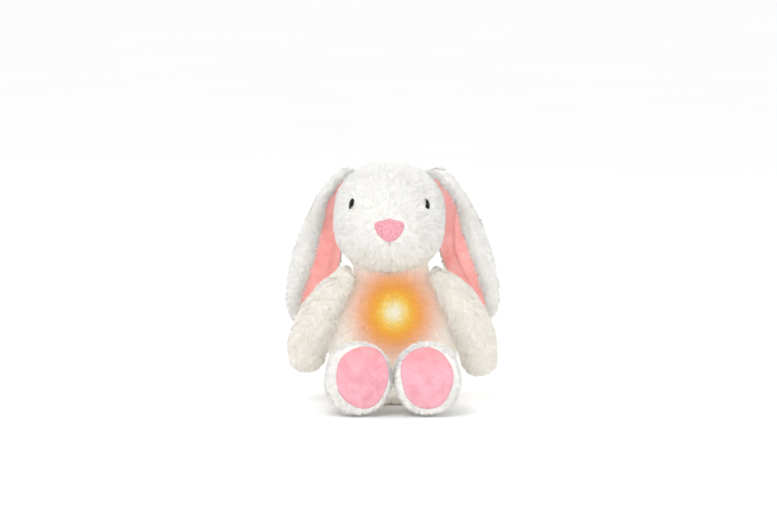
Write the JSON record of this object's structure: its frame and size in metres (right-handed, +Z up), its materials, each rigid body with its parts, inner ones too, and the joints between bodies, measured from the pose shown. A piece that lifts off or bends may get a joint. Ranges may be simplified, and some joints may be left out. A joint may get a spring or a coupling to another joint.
{
  "type": "interactive plush pet",
  "caption": "Seated plush rabbit with long lop ears, pink foot pads and a light and sound module glowing through its belly; head, ears, arms and legs move.",
  "frame": {"origin": "middle of the flat seat, on the surface it sits on", "axes": "+Z up the height, -Y the way the rabbit faces, +X its left side"},
  "size_m": [0.2516, 0.237, 0.2804],
  "materials": {
    "white_plush": "short pile plush",
    "pink_satin": "satin",
    "pink_velour": "velour",
    "nose_felt": "felt",
    "thread": "stitched thread",
    "polyester_filling": "loose fibre",
    "bean_bag_cloth": "plain weave",
    "eye_black": "gloss",
    "washer_plastic": "matte",
    "case_plastic": "matte",
    "lamp_diffuser": "translucent satin",
    "led_epoxy": "clear gloss",
    "circuit_board": "solder mask",
    "cone_paper": "paper",
    "steel": "plated",
    "cell_sleeve": "printed sleeve without text",
    "button_plastic": "matte",
    "switch_black": "matte",
    "wire_red": "insulation",
    "hook_tape": "hook and loop"
  },
  "bodies": {
    "root": {"battery_1": "cell_sleeve", "battery_2": "cell_sleeve", "battery_3": "cell_sleeve", "battery_door": "case_plastic", "battery_spring_1": "steel", "battery_spring_2": "steel", "battery_spring_3": "steel", "button_spring": "steel", "case_back": "case_plastic", "case_front": "case_plastic", "case_screw_lower": "steel", "case_screw_upper": "steel", "circuit_board": "circuit_board", "door_screw": "steel", "lamp_dome": "lamp_diffuser", "led": "led_epoxy", "loop_strip": "hook_tape", "pocket_pad": "polyester_filling", "seat_bean_bag": "bean_bag_cloth", "speaker_cone": "cone_paper", "speaker_frame": "steel", "speaker_lead": "wire_red", "speaker_magnet": "steel", "switch_body": "switch_black", "tail_pompom": "white_plush", "torso_back_left": "white_plush", "torso_back_right": "white_plush", "torso_base_panel": "white_plush", "torso_front_left": "white_plush", "torso_front_right": "white_plush", "torso_stuffing": "polyester_filling"},
    "neck": {"neck_stuffing": "polyester_filling"},
    "head": {"head_side_left": "white_plush", "head_side_right": "white_plush", "head_gusset": "white_plush", "head_stuffing": "polyester_filling", "nose_patch": "nose_felt", "mouth_stitch": "thread", "eye_left": "eye_black", "eye_right": "eye_black", "eye_washer_left": "washer_plastic", "eye_washer_right": "washer_plastic"},
    "ear_left": {"ear_left_outer": "white_plush", "ear_left_lining": "pink_satin"},
    "ear_right": {"ear_right_outer": "white_plush", "ear_right_lining": "pink_satin"},
    "arm_left": {"arm_left_skin": "white_plush", "arm_left_stuffing": "polyester_filling"},
    "arm_right": {"arm_right_skin": "white_plush", "arm_right_stuffing": "polyester_filling"},
    "leg_left": {"leg_left_skin": "white_plush", "leg_left_stuffing": "polyester_filling", "foot_pad_left": "pink_velour"},
    "leg_right": {"leg_right_skin": "white_plush", "leg_right_stuffing": "polyester_filling", "foot_pad_right": "pink_velour"},
    "back_flap": {"back_flap": "white_plush", "hook_strip": "hook_tape"},
    "play_button": {"play_button": "button_plastic"},
    "power_switch": {"power_switch": "switch_black"}
  },
  "joints": [
    {"name": "head_nod", "type": "hinge", "parent": "root", "child": "neck", "pos_m": [-0.002, 0.001, 0.151], "axis": [1, 0, 0], "range_deg": [-6, 8]},
    {"name": "head_tilt", "type": "hinge", "parent": "neck", "child": "head", "pos_m": [-0.002, 0.001, 0.151], "axis": [0, 1, 0], "range_deg": [-6, 6]},
    {"name": "ear_left_lift", "type": "hinge", "parent": "head", "child": "ear_left", "pos_m": [0.043, -0.004, 0.276], "axis": [0, -1, 0], "range_deg": [0, 80]},
    {"name": "ear_right_lift", "type": "hinge", "parent": "head", "child": "ear_right", "pos_m": [-0.043, -0.004, 0.276], "axis": [0, 1, 0], "range_deg": [0, 80]},
    {"name": "arm_left_lift", "type": "hinge", "parent": "root", "child": "arm_left", "pos_m": [0.049, -0.012, 0.155], "axis": [0, -1, 0], "range_deg": [0, 60]},
    {"name": "arm_right_lift", "type": "hinge", "parent": "root", "child": "arm_right", "pos_m": [-0.049, -0.012, 0.155], "axis": [0, 1, 0], "range_deg": [0, 60]},
    {"name": "leg_left_lift", "type": "hinge", "parent": "root", "child": "leg_left", "pos_m": [0.0405, -0.08, 0.0432], "axis": [-1, 0, 0], "range_deg": [0, 35]},
    {"name": "leg_right_lift", "type": "hinge", "parent": "root", "child": "leg_right", "pos_m": [-0.0405, -0.08, 0.0432], "axis": [-1, 0, 0], "range_deg": [0, 35]},
    {"name": "back_flap_open", "type": "hinge", "parent": "root", "child": "back_flap", "pos_m": [0, 0.0614, 0.115], "axis": [1, 0, 0], "range_deg": [0, 95]},
    {"name": "play_button_press", "type": "slide", "parent": "root", "child": "play_button", "axis": [0, 1, 0], "range_m": [0, 0.003], "stiffness_N_per_m": 300, "springref_m": -0.0005, "deforming": ["button_spring"]},
    {"name": "power_switch_slide", "type": "slide", "parent": "root", "child": "power_switch", "axis": [0, 0, 1], "range_m": [0, 0.004]}
  ]
}
